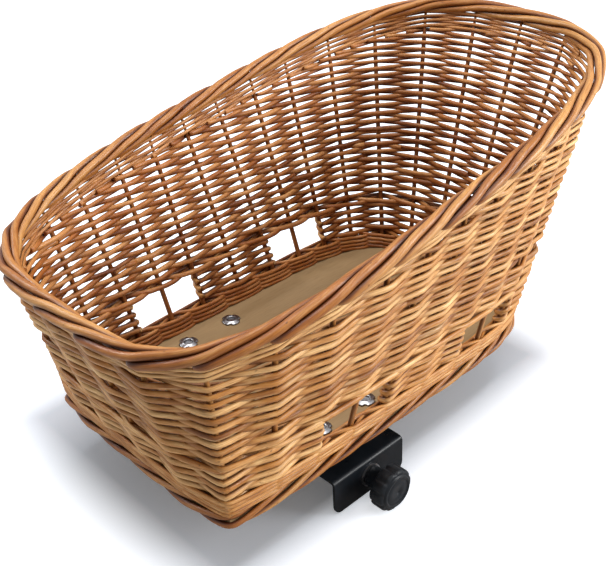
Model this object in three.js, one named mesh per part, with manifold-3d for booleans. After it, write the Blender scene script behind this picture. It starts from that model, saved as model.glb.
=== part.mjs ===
// Wicker carrier basket for a bicycle, with a sloping rim, four low windows, a plywood
// base board and two screw clamps that grip the side rails of a rear carrier.
// Millimetres, +Z up. The low end of the rim points to -X, the high end to +X.
// The origin is under the middle of the basket, level with the bottom of the knobs.

import * as THREE from 'three';
import { mergeVertices } from 'three/addons/utils/BufferGeometryUtils.js';
import Module from 'manifold-3d';

const wasm = await Module();
wasm.setup();

// Rim: a rolled border of thick rods, drawn through the middle of the roll
const RIM_HALF_LENGTH = 297.5;
const RIM_HALF_WIDTH = 175.5;
const RIM_SQUARENESS_LOW = 3.8;
const RIM_SQUARENESS_HIGH = 3.1;
const RIM_HEIGHT_LOW = 248.2;
const RIM_HEIGHT_HIGH = 351.9;
const RIM_SWELL = 6;
const RIM_LATE_RISE = 10;
const RIM_ROLL_RADIUS = 10;
const RIM_ROLL_FACETS = 8;
const RIM_SEAT_GAP = 0.7;

// Foot: the plan of the wall's middle where it meets the foot border
const FOOT_CENTRE_X = -28.5;
const FOOT_HALF_LENGTH = 218;
const FOOT_HALF_WIDTH = 126;
const FOOT_SQUARENESS_LOW = 24;
const FOOT_SQUARENESS_HIGH = 4.8;
const FOOT_PLANE_Z = 66.2;

// Woven wall: the rods swing out and in round the stakes, so it is thick at each stake
const ROD_DIAMETER = 5;
const WEAVE_SWING = 4.5;
const STAKE_DIAMETER = 7;
const STAKE_FACETS = 12;
const BASE_WALE_HEIGHT = 18;
const WINDOW_HEIGHT = 35;
const WINDOW_WALE_HEIGHT = 9;

// Stakes along one long side, where they leave the foot and where they reach the rim
const STAKES_AT_FOOT_X = [-148, -106, -63, -11, 40, 80, 117];
const STAKES_AT_RIM_X = [-165, -109, -60, -17, 28, 79, 129];

// Stakes from the middle of the low end to its corner, as shares of that way, and how
// many stand across the high end
const STAKES_TO_LOW_CORNER = [0.2, 0.6, 1];
const STAKES_ACROSS_HIGH_END = 8;

// How far along the rim, from the middle of the low end, those stakes and the first one
// past the corner reach it
const LOW_STAKES_ALONG_RIM = [29, 92, 147, 199];

// The rim is turned a little against the foot. The turn grows from nothing at the low
// corners to its whole size at the stake of this number along the side
const STAKE_TWIST = 21;
const FULL_TWIST_STAKE = 2;

// Windows: the stakes that frame them, with one bare stake in the middle of each
const LOW_WINDOW_STAKES = [0, 1, 2];
const HIGH_WINDOW_STAKES = [4, 5, 6];

// Foot border: thick rods rolled round the edge of the board
const FOOT_BORDER_DEPTH = 17;
const FOOT_BORDER_OUT = 11.5;
const FOOT_BORDER_IN = 4;
const FOOT_BORDER_ROUND = 3.5;

// Base board
const BOARD_THICKNESS = 9;
const BOARD_EDGE_OUT = 4;
const BOARD_UNDERSIDE_Z = 66.7;

// Clamp bracket: a bent steel angle under each long side
const BRACKET_CENTRE_X = -82;
const BRACKET_LENGTH = 94;
const BRACKET_OUTER_Y = 134.5;
const BRACKET_INNER_Y = 84;
const BRACKET_STEEL = 3;
const BRACKET_BEND_RADIUS = 5;
const BRACKET_BEND_FACETS = 5;
const BRACKET_CORNER_RADIUS = 9;
const BRACKET_CORNER_FACETS = 6;
const FLANGE_FOOT_Z = 2.2;
const FLANGE_HEIGHT = 37.3;

// Fixing bolts, their spacer tubes and the tee nuts in the board
const BOLT_SPACING = 59;
const BOLT_Y = 101;
const BOLT_DIAMETER = 8;
const BOLT_HEAD_WIDTH = 13;
const BOLT_HEAD_HEIGHT = 5;
const BOLT_ABOVE_BOARD = 1;
const SPACER_DIAMETER = 16;
const TEE_FLANGE_DIAMETER = 21;
const TEE_FLANGE_THICKNESS = 1.6;
const TEE_BARREL_DIAMETER = 10.5;
const TEE_NOTCH_WIDTH = 5;
const TEE_NOTCH_COUNT = 4;
const TEE_NOTCH_FACETS = 12;

// Clamp screw, knob and jaw: the carrier's rail lies over the screw and under the leg
const SCREW_Z = 21.7;
const SCREW_DIAMETER = 8;
const SCREW_REACH = 48;
const SCREW_IN_KNOB = 24;
const SCREW_TIP_CHAMFER = 1;
const WASHER_DIAMETER = 24;
const WASHER_THICKNESS = 2;
const RETAINER_DIAMETER = 12;
const RETAINER_THICKNESS = 1;
const HUB_DIAMETER = 21;
const HUB_LENGTH = 16;
const GRIP_DIAMETER = 43.4;
const GRIP_DEPTH = 16;
const GRIP_LOBES = 10;
const GRIP_SAMPLES_PER_LOBE = 6;
const GRIP_FLUTE_DEPTH = 1.2;
const GRIP_BEVEL = 1.5;
const FACE_DISC_DIAMETER = 34;
const FACE_DISC_HEIGHT = 1.8;
const JAW_WIDTH = 36;
const JAW_PLATE = 4;
const JAW_OPENING = 30;
const JAW_BOSS_DIAMETER = 18;
const JAW_BOSS_LENGTH = 8;
const JAW_FLOOR_GAP = 1.5;

// Clearances and facets
const GAP = 0.3;
const HOLE_CLEARANCE = 0.6;
const CUTTER_OVERRUN = 1;
const STEPS_PER_BAY = 4;
const NORMAL_STEP = 0.006;
const OUTLINE_SAMPLES = 4000;
const SEARCH_STEPS = 50;
const ROUND_FACETS = 24;

// Heights that follow from the sizes above
const BOARD_TOP_Z = BOARD_UNDERSIDE_Z + BOARD_THICKNESS;
const BASE_WALE_Z = BOARD_TOP_Z + GAP;
const WINDOW_SILL_Z = BASE_WALE_Z + BASE_WALE_HEIGHT;
const WINDOW_HEAD_Z = WINDOW_SILL_Z + WINDOW_HEIGHT;
const WALL_BOTTOM_Z = WINDOW_HEAD_Z + WINDOW_WALE_HEIGHT;
const LEG_TOP_Z = FLANGE_FOOT_Z + FLANGE_HEIGHT;
const LEG_UNDERSIDE_Z = LEG_TOP_Z - BRACKET_STEEL;

const WILLOW = { color: 0xb97a3c, roughness: 0.6, metalness: 0 };
const WILLOW_DARK = { color: 0x8a4f28, roughness: 0.65, metalness: 0 };
const PLYWOOD = { color: 0xa98a5c, roughness: 0.7, metalness: 0 };
const BLACK_STEEL = { color: 0x16181b, roughness: 0.4, metalness: 0.3 };
const ZINC = { color: 0xb4b8bd, roughness: 0.3, metalness: 1 };
const BLACK_PLASTIC = { color: 0x1b1d20, roughness: 0.45, metalness: 0 };

const model = new THREE.Group();

function addPiece(name, geometry, finish) {
  const mesh = new THREE.Mesh(geometry, new THREE.MeshStandardMaterial(finish));
  mesh.name = name;
  model.add(mesh);
  return mesh;
}

// Closed plan curves, measured by the share of their length from the middle of the low end

function superellipse(angle, halfLength, halfWidth, squareLow, squareHigh) {
  const c = Math.cos(angle);
  const s = Math.sin(angle);
  const power = 2 / (c < 0 ? squareLow : squareHigh);
  return new THREE.Vector2(
    halfLength * Math.sign(c) * Math.abs(c) ** power,
    halfWidth * Math.sign(s) * Math.abs(s) ** power,
  );
}

function planCurve(halfLength, halfWidth, squareLow, squareHigh, centreX) {
  const points = [];
  const lengths = [0];
  for (let i = 0; i <= OUTLINE_SAMPLES; i += 1) {
    const angle = Math.PI - (2 * Math.PI * i) / OUTLINE_SAMPLES;
    const point = superellipse(angle, halfLength, halfWidth, squareLow, squareHigh);
    point.x += centreX;
    if (i > 0) lengths.push(lengths[i - 1] + point.distanceTo(points[i - 1]));
    points.push(point);
  }
  const total = lengths[OUTLINE_SAMPLES];
  const pointAt = (share) => {
    const target = (share - Math.floor(share)) * total;
    let low = 0;
    let high = OUTLINE_SAMPLES;
    while (high - low > 1) {
      const middle = (low + high) >> 1;
      if (lengths[middle] <= target) low = middle;
      else high = middle;
    }
    const part = (target - lengths[low]) / (lengths[high] - lengths[low]);
    return points[low].clone().lerp(points[high], part);
  };
  const cornerShare = lengths[OUTLINE_SAMPLES / 8] / total;
  return { pointAt, total, cornerShare };
}

const rimCurve = planCurve(
  RIM_HALF_LENGTH, RIM_HALF_WIDTH, RIM_SQUARENESS_LOW, RIM_SQUARENESS_HIGH, 0,
);
const footCurve = planCurve(
  FOOT_HALF_LENGTH, FOOT_HALF_WIDTH, FOOT_SQUARENESS_LOW, FOOT_SQUARENESS_HIGH, FOOT_CENTRE_X,
);

function rimHeight(x) {
  const u = (x + RIM_HALF_LENGTH) / (2 * RIM_HALF_LENGTH);
  const bow = u * (1 - u);
  const straight = RIM_HEIGHT_LOW + (RIM_HEIGHT_HIGH - RIM_HEIGHT_LOW) * u;
  return straight + RIM_SWELL * bow - RIM_LATE_RISE * bow * (2 * u - 1);
}

// The share of a curve's length where its long side passes x
function shareAtX(curve, x) {
  let low = 0;
  let high = 0.5;
  for (let i = 0; i < SEARCH_STEPS; i += 1) {
    const middle = (low + high) / 2;
    if (curve.pointAt(middle).x < x) low = middle;
    else high = middle;
  }
  return low;
}

// Stakes tie the foot to the rim, so the wall runs straight along each of them
const sideShares = STAKES_AT_FOOT_X.map((x) => shareAtX(footCurve, x));
const toCorner = STAKES_TO_LOW_CORNER.map((part) => part * footCurve.cornerShare);
const pastCorner = (footCurve.cornerShare + sideShares[0]) / 2;
const footShares = [0, ...toCorner, pastCorner, ...sideShares, 0.5];
const lowRimShares = LOW_STAKES_ALONG_RIM.map((length) => length / rimCurve.total);
const sideRimShares = STAKES_AT_RIM_X.map((x) => shareAtX(rimCurve, x));
const rimShares = [0, ...lowRimShares, ...sideRimShares, 0.5];

// How much of the rim's turn a stake takes, by its share of the way to the high end
function twistAt(half) {
  const corner = footCurve.cornerShare;
  const part = (half - corner) / (sideShares[FULL_TWIST_STAKE] - corner);
  return (STAKE_TWIST / rimCurve.total) * Math.min(1, Math.max(0, part));
}

function rimShareAbove(share) {
  const turn = share - Math.floor(share);
  const half = Math.min(turn, 1 - turn);
  let k = 1;
  while (k < footShares.length - 1 && footShares[k] < half) k += 1;
  const part = (half - footShares[k - 1]) / (footShares[k] - footShares[k - 1]);
  const above = rimShares[k - 1] + part * (rimShares[k] - rimShares[k - 1]);
  return (turn <= 0.5 ? above : 1 - above) - twistAt(half);
}

// A point on the middle of the wall, at a share of the way round the foot and a height
function wallPoint(share, z) {
  const foot = footCurve.pointAt(share);
  const rim = rimCurve.pointAt(rimShareAbove(share));
  const rise = (z - FOOT_PLANE_Z) / (rimHeight(rim.x) - FOOT_PLANE_Z);
  return foot.lerp(rim, rise);
}

// Every stake in turn, by its share of the way round the foot, from just past the low end
function placeStakes() {
  const half = footShares.slice(1, -1);
  const last = half[half.length - 1];
  const gap = (1 - 2 * last) / (STAKES_ACROSS_HIGH_END + 1);
  const high = Array.from({ length: STAKES_ACROSS_HIGH_END }, (_, k) => last + gap * (k + 1));
  return [...half, ...high, ...half.map((share) => 1 - share).reverse()];
}

const stakeShares = placeStakes();
const STAKE_COUNT = stakeShares.length;
const FIRST_SIDE_STAKE = STAKES_TO_LOW_CORNER.length + 1;

// The share at a place counted in stakes, where a fraction is part of a bay
function shareOf(stake) {
  const before = Math.floor(stake);
  const turns = Math.floor(before / STAKE_COUNT);
  const k = before - turns * STAKE_COUNT;
  const next = k + 1 < STAKE_COUNT ? stakeShares[k + 1] : stakeShares[0] + 1;
  return stakeShares[k] + (next - stakeShares[k]) * (stake - before) + turns;
}

// The number of a stake of the left or right side, from its place along that side
function stakeNumber(index, side) {
  const number = FIRST_SIDE_STAKE + index;
  return side > 0 ? number : STAKE_COUNT - 1 - number;
}

function outwardOfBay(bay, z) {
  const along = wallPoint(shareOf(bay + 1), z).sub(wallPoint(shareOf(bay), z)).normalize();
  return new THREE.Vector2(-along.y, along.x);
}

// A point moved out from the wall's middle, which runs straight from stake to stake and is
// mitred where it turns at a stake
function offsetPoint(stake, z, out) {
  const bay = Math.floor(stake);
  const part = stake - bay;
  const middle = wallPoint(shareOf(bay), z).lerp(wallPoint(shareOf(bay + 1), z), part);
  const outward = outwardOfBay(bay, z);
  const turn = Math.max(0, 1 - Math.min(part, 1 - part) * STEPS_PER_BAY);
  if (turn > 0) {
    const next = outwardOfBay(part < 0.5 ? bay - 1 : bay + 1, z);
    const mitre = outward.clone().add(next).divideScalar(1 + outward.dot(next));
    outward.lerp(mitre, turn);
  }
  return new THREE.Vector3(middle.x + outward.x * out, middle.y + outward.y * out, z);
}

// The same at the rim, where the wall follows the rim's own curve
function rimPoint(stake, z, out) {
  const share = shareOf(stake);
  const before = wallPoint(share - NORMAL_STEP, z);
  const along = wallPoint(share + NORMAL_STEP, z).sub(before).normalize();
  const middle = wallPoint(share, z);
  return new THREE.Vector3(middle.x - along.y * out, middle.y + along.x * out, z);
}

// A band swept round the basket: each section is a list of points at one share

function sweptBand(sections, closed) {
  const sides = sections[0].length;
  const positions = [];
  const indices = [];
  for (const section of sections) {
    for (const point of section) positions.push(point.x, point.y, point.z);
  }
  const joins = closed ? sections.length : sections.length - 1;
  for (let i = 0; i < joins; i += 1) {
    const here = i * sides;
    const next = ((i + 1) % sections.length) * sides;
    for (let k = 0; k < sides; k += 1) {
      const m = (k + 1) % sides;
      indices.push(here + k, here + m, next + m, here + k, next + m, next + k);
    }
  }
  if (!closed) {
    const last = (sections.length - 1) * sides;
    for (let k = 1; k < sides - 1; k += 1) {
      indices.push(0, k + 1, k);
      indices.push(last, last + k, last + k + 1);
    }
  }
  const geometry = new THREE.BufferGeometry();
  geometry.setAttribute('position', new THREE.Float32BufferAttribute(positions, 3));
  geometry.setIndex(indices);
  return geometry;
}

function closedBand(profileAt) {
  const sections = [];
  const steps = STAKE_COUNT * STEPS_PER_BAY;
  for (let i = 0; i < steps; i += 1) sections.push(profileAt(i / STEPS_PER_BAY));
  return sweptBand(sections, true);
}

// A band between two edge stakes, which it covers
function openBand(profileAt, start, end, edge) {
  const sections = [profileAt(start - edge)];
  const steps = (end - start) * STEPS_PER_BAY;
  for (let i = 1; i < steps; i += 1) sections.push(profileAt(start + i / STEPS_PER_BAY));
  sections.push(profileAt(end + edge));
  return sweptBand(sections, false);
}

// Half the wall's thickness: even in the wales, ribbed at the stakes in the plain weave
const waleHalf = () => ROD_DIAMETER / 2 + WEAVE_SWING;
const weaveHalf = (stake) => ROD_DIAMETER / 2 + WEAVE_SWING * Math.abs(Math.cos(Math.PI * stake));

// A wall band between two levels, corners in the order that turns its faces outwards
function wallProfile(bottom, top, halfAt) {
  return (stake) => {
    const half = halfAt(stake);
    return [
      offsetPoint(stake, bottom, -half),
      offsetPoint(stake, bottom, half),
      offsetPoint(stake, top, half),
      offsetPoint(stake, top, -half),
    ];
  };
}

const rimMiddle = (stake) => rimHeight(rimCurve.pointAt(rimShareAbove(shareOf(stake))).x);

// Solids joined and cut

function toSolid(geometry) {
  const bare = geometry.clone();
  bare.deleteAttribute('normal');
  bare.deleteAttribute('uv');
  const merged = mergeVertices(bare, 1e-4);
  return new wasm.Manifold(new wasm.Mesh({
    numProp: 3,
    vertProperties: new Float32Array(merged.attributes.position.array),
    triVerts: new Uint32Array(merged.index.array),
  }));
}

function toGeometry(solid) {
  const mesh = solid.getMesh();
  const geometry = new THREE.BufferGeometry();
  geometry.setAttribute('position', new THREE.Float32BufferAttribute(mesh.vertProperties, 3));
  geometry.setIndex(Array.from(mesh.triVerts));
  return geometry;
}

// A rod along Z or Y between two places, used for pins and as a hole cutter
function rodZ(diameter, x, y, bottom, top, facets = ROUND_FACETS) {
  const rod = new THREE.CylinderGeometry(diameter / 2, diameter / 2, top - bottom, facets);
  rod.rotateX(Math.PI / 2);
  return rod.translate(x, y, (bottom + top) / 2);
}

function rodY(diameter, x, z, start, end, facets = ROUND_FACETS) {
  const rod = new THREE.CylinderGeometry(diameter / 2, diameter / 2, Math.abs(end - start), facets);
  return rod.translate(x, (start + end) / 2, z);
}

function ringZ(outer, inner, x, y, bottom, top) {
  const profile = [
    new THREE.Vector2(inner / 2, bottom),
    new THREE.Vector2(outer / 2, bottom),
    new THREE.Vector2(outer / 2, top),
    new THREE.Vector2(inner / 2, top),
    new THREE.Vector2(inner / 2, bottom),
  ];
  const ring = new THREE.LatheGeometry(profile, ROUND_FACETS);
  ring.rotateX(Math.PI / 2);
  return ring.translate(x, y, 0);
}

function ringY(outer, inner, x, z, start, end) {
  const ring = ringZ(outer, inner, 0, 0, Math.min(start, end), Math.max(start, end));
  ring.rotateX(-Math.PI / 2);
  return ring.translate(x, 0, z);
}

// Woven basket: border, wall, wales, the bands between the windows and the bare stakes

function makeRimBorder() {
  return closedBand((stake) => {
    const z = rimMiddle(stake);
    const section = [];
    for (let k = 0; k < RIM_ROLL_FACETS; k += 1) {
      const angle = (2 * Math.PI * k) / RIM_ROLL_FACETS;
      const point = rimPoint(stake, z, RIM_ROLL_RADIUS * Math.cos(angle));
      point.z = z + RIM_ROLL_RADIUS * Math.sin(angle);
      section.push(point);
    }
    return section;
  });
}

function makeMainWall() {
  const bottom = WALL_BOTTOM_Z + GAP;
  return closedBand((stake) => {
    const half = weaveHalf(stake);
    const top = rimMiddle(stake) - RIM_ROLL_RADIUS - RIM_SEAT_GAP;
    return [
      offsetPoint(stake, bottom, -half),
      offsetPoint(stake, bottom, half),
      rimPoint(stake, top, half),
      rimPoint(stake, top, -half),
    ];
  });
}

// The foot border and the board's edge stand upright, from the plan at the board's middle
function footPoint(stake, z, out) {
  const point = offsetPoint(stake, BOARD_UNDERSIDE_Z + BOARD_THICKNESS / 2, out);
  point.z = z;
  return point;
}

function makeFootBorder() {
  const top = BOARD_TOP_Z - GAP;
  const bottom = top - FOOT_BORDER_DEPTH;
  const step = BOARD_UNDERSIDE_Z - GAP;
  const rebate = BOARD_EDGE_OUT + GAP;
  const round = FOOT_BORDER_ROUND;
  return closedBand((stake) => [
    footPoint(stake, bottom + round, -FOOT_BORDER_IN),
    footPoint(stake, bottom, -FOOT_BORDER_IN + round),
    footPoint(stake, bottom, FOOT_BORDER_OUT - round),
    footPoint(stake, bottom + round, FOOT_BORDER_OUT),
    footPoint(stake, top - round, FOOT_BORDER_OUT),
    footPoint(stake, top, FOOT_BORDER_OUT - round),
    footPoint(stake, top, rebate),
    footPoint(stake, step, rebate),
    footPoint(stake, step, -FOOT_BORDER_IN),
  ]);
}

function makeWindowBand(start, end) {
  const profile = wallProfile(WINDOW_SILL_Z + GAP, WINDOW_HEAD_Z - GAP, weaveHalf);
  const bay = footCurve.total / STAKE_COUNT;
  return openBand(profile, start, end, STAKE_DIAMETER / 2 / bay);
}

function makeBareStake(stake) {
  const foot = wallPoint(shareOf(stake), WINDOW_SILL_Z);
  const head = wallPoint(shareOf(stake), WINDOW_HEAD_Z);
  const height = WINDOW_HEIGHT - 2 * GAP;
  const rod = rodZ(STAKE_DIAMETER, 0, 0, 0, height, STAKE_FACETS);
  const lean = new THREE.Matrix4().set(
    1, 0, (head.x - foot.x) / height, foot.x,
    0, 1, (head.y - foot.y) / height, foot.y,
    0, 0, 1, WINDOW_SILL_Z + GAP,
    0, 0, 0, 1,
  );
  return rod.applyMatrix4(lean);
}

function addBasket() {
  const windowWale = wallProfile(WINDOW_HEAD_Z, WALL_BOTTOM_Z, waleHalf);
  const baseWale = wallProfile(BASE_WALE_Z, WINDOW_SILL_Z, waleHalf);
  addPiece('rim_border', makeRimBorder(), WILLOW);
  addPiece('woven_wall', makeMainWall(), WILLOW);
  addPiece('window_wale', closedBand(windowWale), WILLOW_DARK);
  addPiece('base_wale', closedBand(baseWale), WILLOW_DARK);
  addPiece('foot_border', makeFootBorder(), WILLOW);

  const [lowStart, lowMiddle, lowEnd] = LOW_WINDOW_STAKES;
  const [highStart, highMiddle, highEnd] = HIGH_WINDOW_STAKES;
  const left = (index) => stakeNumber(index, 1);
  const right = (index) => stakeNumber(index, -1);
  const lowBand = makeWindowBand(right(lowStart) - STAKE_COUNT, left(lowStart));
  addPiece('window_band_low_end', lowBand, WILLOW);
  addPiece('window_band_high_end', makeWindowBand(left(highEnd), right(highEnd)), WILLOW);
  addPiece('window_band_left', makeWindowBand(left(lowEnd), left(highStart)), WILLOW);
  addPiece('window_band_right', makeWindowBand(right(highStart), right(lowEnd)), WILLOW);

  for (const [side, sign] of [['left', 1], ['right', -1]]) {
    addPiece(`bare_stake_${side}_low`, makeBareStake(stakeNumber(lowMiddle, sign)), WILLOW);
    addPiece(`bare_stake_${side}_high`, makeBareStake(stakeNumber(highMiddle, sign)), WILLOW);
  }
}

// Base board, drilled for the tee nuts

const boltPlaces = [];
for (const [side, sign] of [['left', 1], ['right', -1]]) {
  for (const [end, along] of [['low', -0.5], ['high', 0.5]]) {
    const x = BRACKET_CENTRE_X + along * BOLT_SPACING;
    boltPlaces.push({ name: `${side}_${end}`, x, y: sign * BOLT_Y });
  }
}

function makeBoard() {
  const outline = [];
  for (let i = 0; i < STAKE_COUNT * STEPS_PER_BAY; i += 1) {
    const point = footPoint(i / STEPS_PER_BAY, BOARD_UNDERSIDE_Z, BOARD_EDGE_OUT);
    outline.push(new THREE.Vector2(point.x, point.y));
  }
  const board = new THREE.ExtrudeGeometry(new THREE.Shape(outline), {
    depth: BOARD_THICKNESS,
    bevelEnabled: false,
  });
  board.translate(0, 0, BOARD_UNDERSIDE_Z);
  let solid = toSolid(board);
  const hole = TEE_BARREL_DIAMETER + 2 * GAP;
  const from = BOARD_UNDERSIDE_Z - CUTTER_OVERRUN;
  const to = BOARD_TOP_Z + CUTTER_OVERRUN;
  for (const place of boltPlaces) {
    solid = solid.subtract(toSolid(rodZ(hole, place.x, place.y, from, to)));
  }
  return toGeometry(solid);
}

// Tee nut: a notched flange on the board with a barrel down its hole
function makeTeeNut(place) {
  const seat = BOARD_TOP_Z + GAP;
  const top = seat + TEE_FLANGE_THICKNESS;
  const foot = BOARD_UNDERSIDE_Z + GAP;
  let nut = toSolid(rodZ(TEE_FLANGE_DIAMETER, place.x, place.y, seat, top));
  nut = nut.add(toSolid(rodZ(TEE_BARREL_DIAMETER, place.x, place.y, foot, top)));
  for (let k = 0; k < TEE_NOTCH_COUNT; k += 1) {
    const angle = ((k + 0.5) * 2 * Math.PI) / TEE_NOTCH_COUNT;
    const reach = TEE_FLANGE_DIAMETER / 2;
    const x = place.x + reach * Math.cos(angle);
    const y = place.y + reach * Math.sin(angle);
    const from = seat - CUTTER_OVERRUN;
    const to = top + CUTTER_OVERRUN;
    nut = nut.subtract(toSolid(rodZ(TEE_NOTCH_WIDTH, x, y, from, to, TEE_NOTCH_FACETS)));
  }
  const width = BOLT_DIAMETER + HOLE_CLEARANCE;
  const bore = rodZ(width, place.x, place.y, foot - CUTTER_OVERRUN, top + CUTTER_OVERRUN);
  return toGeometry(nut.subtract(toSolid(bore)));
}

// Hexagon bolt from below, through the bracket and its spacer into the tee nut
function makeBolt(place) {
  const seat = LEG_UNDERSIDE_Z - GAP;
  const across = BOLT_HEAD_WIDTH / Math.cos(Math.PI / 6);
  const head = rodZ(across, place.x, place.y, seat - BOLT_HEAD_HEIGHT, seat, 6);
  const inHead = seat - BOLT_HEAD_HEIGHT / 2;
  const shank = rodZ(BOLT_DIAMETER, place.x, place.y, inHead, BOARD_TOP_Z + BOLT_ABOVE_BOARD);
  return toGeometry(toSolid(head).add(toSolid(shank)));
}

function addBoardAndFixings() {
  addPiece('base_board', makeBoard(), PLYWOOD);
  const bore = BOLT_DIAMETER + HOLE_CLEARANCE;
  const spacerBottom = LEG_TOP_Z + GAP;
  const spacerTop = BOARD_UNDERSIDE_Z - GAP;
  for (const place of boltPlaces) {
    addPiece(`tee_nut_${place.name}`, makeTeeNut(place), ZINC);
    addPiece(`bracket_bolt_${place.name}`, makeBolt(place), ZINC);
    const spacer = ringZ(SPACER_DIAMETER, bore, place.x, place.y, spacerBottom, spacerTop);
    addPiece(`spacer_${place.name}`, spacer, BLACK_STEEL);
  }
}

// Clamp bracket on the side of positive Y

function makeBracket() {
  const outer = BRACKET_OUTER_Y;
  const steel = BRACKET_STEEL;
  const bend = BRACKET_BEND_RADIUS;
  const angle = new THREE.Shape();
  angle.moveTo(BRACKET_INNER_Y, LEG_UNDERSIDE_Z);
  angle.lineTo(outer - bend, LEG_UNDERSIDE_Z);
  angle.absarc(outer - bend, LEG_TOP_Z - bend, bend - steel, Math.PI / 2, 0, true);
  angle.lineTo(outer - steel, FLANGE_FOOT_Z);
  angle.lineTo(outer, FLANGE_FOOT_Z);
  angle.lineTo(outer, LEG_TOP_Z - bend);
  angle.absarc(outer - bend, LEG_TOP_Z - bend, bend, 0, Math.PI / 2, false);
  angle.lineTo(BRACKET_INNER_Y, LEG_TOP_Z);
  angle.closePath();
  const bar = new THREE.ExtrudeGeometry(angle, {
    depth: BRACKET_LENGTH,
    bevelEnabled: false,
    curveSegments: BRACKET_BEND_FACETS,
  });
  bar.rotateX(Math.PI / 2).rotateZ(Math.PI / 2);
  bar.translate(BRACKET_CENTRE_X - BRACKET_LENGTH / 2, 0, 0);
  const half = BRACKET_LENGTH / 2;
  const round = BRACKET_CORNER_RADIUS;
  const corner = FLANGE_FOOT_Z + round;
  const face = new THREE.Shape();
  face.moveTo(-half, LEG_TOP_Z + CUTTER_OVERRUN);
  face.lineTo(-half, corner);
  face.absarc(-half + round, corner, round, Math.PI, 1.5 * Math.PI, false);
  face.lineTo(half - round, FLANGE_FOOT_Z);
  face.absarc(half - round, corner, round, 1.5 * Math.PI, 2 * Math.PI, false);
  face.lineTo(half, LEG_TOP_Z + CUTTER_OVERRUN);
  face.closePath();
  const envelope = new THREE.ExtrudeGeometry(face, {
    depth: outer,
    bevelEnabled: false,
    curveSegments: BRACKET_CORNER_FACETS,
  });
  envelope.rotateX(Math.PI / 2);
  envelope.translate(BRACKET_CENTRE_X, outer + CUTTER_OVERRUN, 0);
  let solid = toSolid(bar).intersect(toSolid(envelope));
  const hole = BOLT_DIAMETER + HOLE_CLEARANCE;
  const from = LEG_UNDERSIDE_Z - CUTTER_OVERRUN;
  const to = LEG_TOP_Z + CUTTER_OVERRUN;
  for (const along of [-0.5, 0.5]) {
    const x = BRACKET_CENTRE_X + along * BOLT_SPACING;
    solid = solid.subtract(toSolid(rodZ(hole, x, BOLT_Y, from, to)));
  }
  const width = SCREW_DIAMETER + HOLE_CLEARANCE;
  const inside = outer - steel - CUTTER_OVERRUN;
  const screwHole = rodY(width, BRACKET_CENTRE_X, SCREW_Z, inside, outer + CUTTER_OVERRUN);
  return toGeometry(solid.subtract(toSolid(screwHole)));
}

const WASHER_Y = BRACKET_OUTER_Y + GAP;
const HUB_Y = WASHER_Y + WASHER_THICKNESS + GAP;
const GRIP_Y = HUB_Y + HUB_LENGTH;
const GRIP_FACE_Y = GRIP_Y + GRIP_DEPTH;
const FLANGE_INNER_Y = BRACKET_OUTER_Y - BRACKET_STEEL;
const JAW_FACE_Y = FLANGE_INNER_Y - JAW_OPENING;

// Grip outline: shallow flutes round a disc
function gripShape() {
  const points = [];
  const steps = GRIP_LOBES * GRIP_SAMPLES_PER_LOBE;
  for (let i = 0; i < steps; i += 1) {
    const angle = (2 * Math.PI * i) / steps;
    const flute = Math.max(0, -Math.cos(GRIP_LOBES * angle));
    const radius = GRIP_DIAMETER / 2 - GRIP_FLUTE_DEPTH * flute;
    points.push(new THREE.Vector2(radius * Math.cos(angle), radius * Math.sin(angle)));
  }
  return new THREE.Shape(points);
}

function makeKnob() {
  const bevel = GRIP_BEVEL;
  const grip = new THREE.ExtrudeGeometry(gripShape(), {
    depth: GRIP_DEPTH - 2 * bevel,
    bevelThickness: bevel,
    bevelSize: bevel,
    bevelOffset: -bevel,
    bevelSegments: 1,
  });
  grip.translate(0, 0, bevel);
  grip.rotateX(-Math.PI / 2);
  grip.translate(BRACKET_CENTRE_X, GRIP_Y, SCREW_Z);
  const x = BRACKET_CENTRE_X;
  const hub = rodY(HUB_DIAMETER, x, SCREW_Z, HUB_Y, GRIP_Y + CUTTER_OVERRUN);
  const faceEnd = GRIP_FACE_Y + FACE_DISC_HEIGHT;
  const face = rodY(FACE_DISC_DIAMETER, x, SCREW_Z, GRIP_FACE_Y - CUTTER_OVERRUN, faceEnd);
  const boreWidth = SCREW_DIAMETER + 2 * GAP;
  const bore = rodY(boreWidth, x, SCREW_Z, HUB_Y - CUTTER_OVERRUN, HUB_Y + SCREW_IN_KNOB);
  const knob = toSolid(grip).add(toSolid(hub)).add(toSolid(face));
  return toGeometry(knob.subtract(toSolid(bore)));
}

function makeScrew() {
  const tip = BRACKET_OUTER_Y - SCREW_REACH;
  const end = HUB_Y + SCREW_IN_KNOB - GAP;
  const chamfer = SCREW_TIP_CHAMFER;
  const radius = SCREW_DIAMETER / 2;
  const profile = [
    new THREE.Vector2(0, tip),
    new THREE.Vector2(radius - chamfer, tip),
    new THREE.Vector2(radius, tip + chamfer),
    new THREE.Vector2(radius, end),
    new THREE.Vector2(0, end),
  ];
  return new THREE.LatheGeometry(profile, ROUND_FACETS).translate(BRACKET_CENTRE_X, 0, SCREW_Z);
}

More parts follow.
